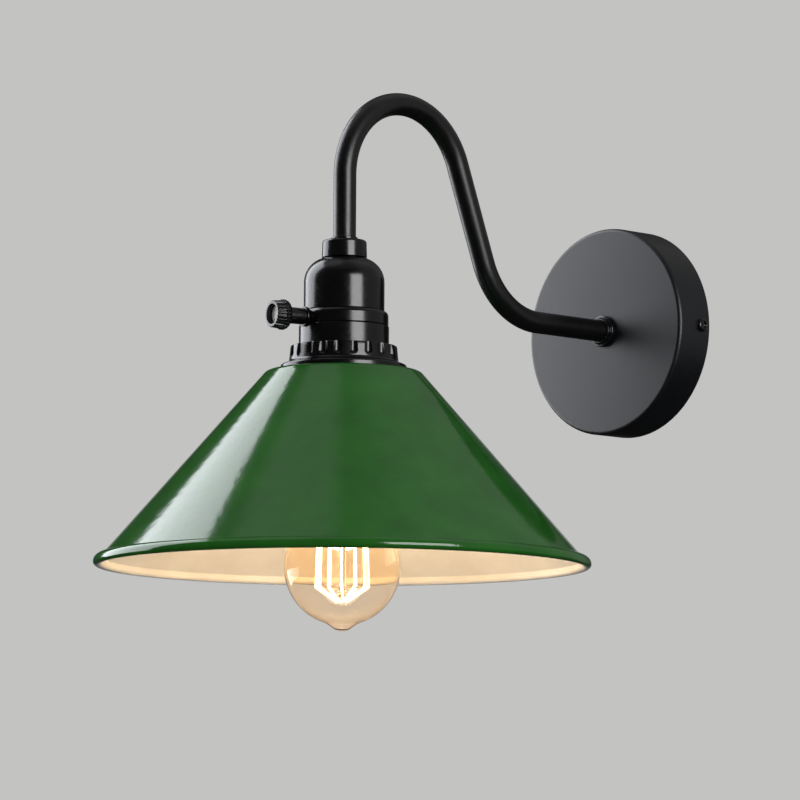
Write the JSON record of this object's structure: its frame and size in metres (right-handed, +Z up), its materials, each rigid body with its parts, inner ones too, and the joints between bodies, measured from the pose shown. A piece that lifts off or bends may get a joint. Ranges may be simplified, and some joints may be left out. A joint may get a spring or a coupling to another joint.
{
  "type": "gooseneck wall sconce",
  "caption": "Wall lamp: round canopy, curved tube arm, black socket with turn switch and toothed ring, green enamelled cone shade, white inside, and long globe bulb.",
  "frame": {"origin": "centre of the canopy's back rim, on the wall", "axes": "+Y into the wall, -Y out into the room, +Z up, +X along the wall"},
  "size_m": [0.26, 0.3515, 0.2896],
  "materials": {
    "black_lacquer": "satin black lacquer",
    "green_enamel": "glossy green enamel outside, white enamel inside",
    "zinc_steel": "zinc plated",
    "earth_green": "green plated",
    "bare_copper": "bare copper",
    "live_insulation": "wire insulation",
    "neutral_insulation": "wire insulation",
    "connector_plastic": "moulded",
    "liner_board": "fibre board",
    "phenolic": "moulded phenolic",
    "contact_brass": "bright",
    "solder": "dull",
    "black_glass": "vitrite",
    "cap_brass": "satin",
    "amber_glass": "clear amber tint",
    "clear_glass": "clear",
    "support_wire": "drawn wire",
    "filament": "glowing wire"
  },
  "bodies": {
    "fixture": {"canopy": "black_lacquer", "canopy_side_screws": "black_lacquer", "arm_collar": "black_lacquer", "gooseneck_arm": "black_lacquer", "neck_collar": "black_lacquer", "socket_cap": "black_lacquer", "socket_shell": "black_lacquer", "shade_ring_upper": "black_lacquer", "shade_ring_lower": "black_lacquer", "switch_bushing": "black_lacquer", "switch_ferrule": "black_lacquer", "lamp_shade": "green_enamel", "wall_bracket": "zinc_steel", "arm_nipple": "zinc_steel", "arm_lock_washer": "zinc_steel", "arm_lock_nut": "zinc_steel", "head_nipple": "zinc_steel", "cap_lock_nut": "zinc_steel", "terminal_screws": "zinc_steel", "bracket_earth_screw": "earth_green", "earth_lead": "bare_copper", "live_wire": "live_insulation", "neutral_wire": "neutral_insulation", "wire_connectors": "connector_plastic", "cap_liner": "liner_board", "socket_insert": "phenolic", "live_contact": "contact_brass", "neutral_contact": "contact_brass", "centre_contact": "contact_brass", "thread_shell": "contact_brass"},
    "switch": {"switch_shaft": "zinc_steel", "switch_rotor": "phenolic", "switch_knob": "black_lacquer"},
    "bulb_lift": {"bulb_base_insulator": "black_glass", "bulb_solder_contact": "solder"},
    "bulb": {"bulb_screw_cap": "cap_brass", "bulb_glass": "amber_glass", "bulb_stem": "clear_glass", "bulb_supports": "support_wire", "bulb_lead_in_wires": "support_wire", "bulb_filament": "filament"}
  },
  "joints": [
    {"name": "switch_turn", "type": "hinge", "parent": "fixture", "child": "switch", "pos_m": [0, -0.22159, -0.01244], "axis": [-0.2079, -0.9781, 0], "continuous": true},
    {"name": "bulb_travel", "type": "slide", "parent": "fixture", "child": "bulb_lift", "axis": [0, 0, -1], "range_m": [0, 0.0218]},
    {"name": "bulb_turn", "type": "hinge", "parent": "bulb_lift", "child": "bulb", "pos_m": [0, -0.22159, -0.05], "axis": [0, 0, -1], "range_deg": [0, 2160]}
  ],
  "couplings": [
    {"joint": "bulb_travel", "follows": "bulb_turn", "m_per_rad": 0.0005775}
  ]
}
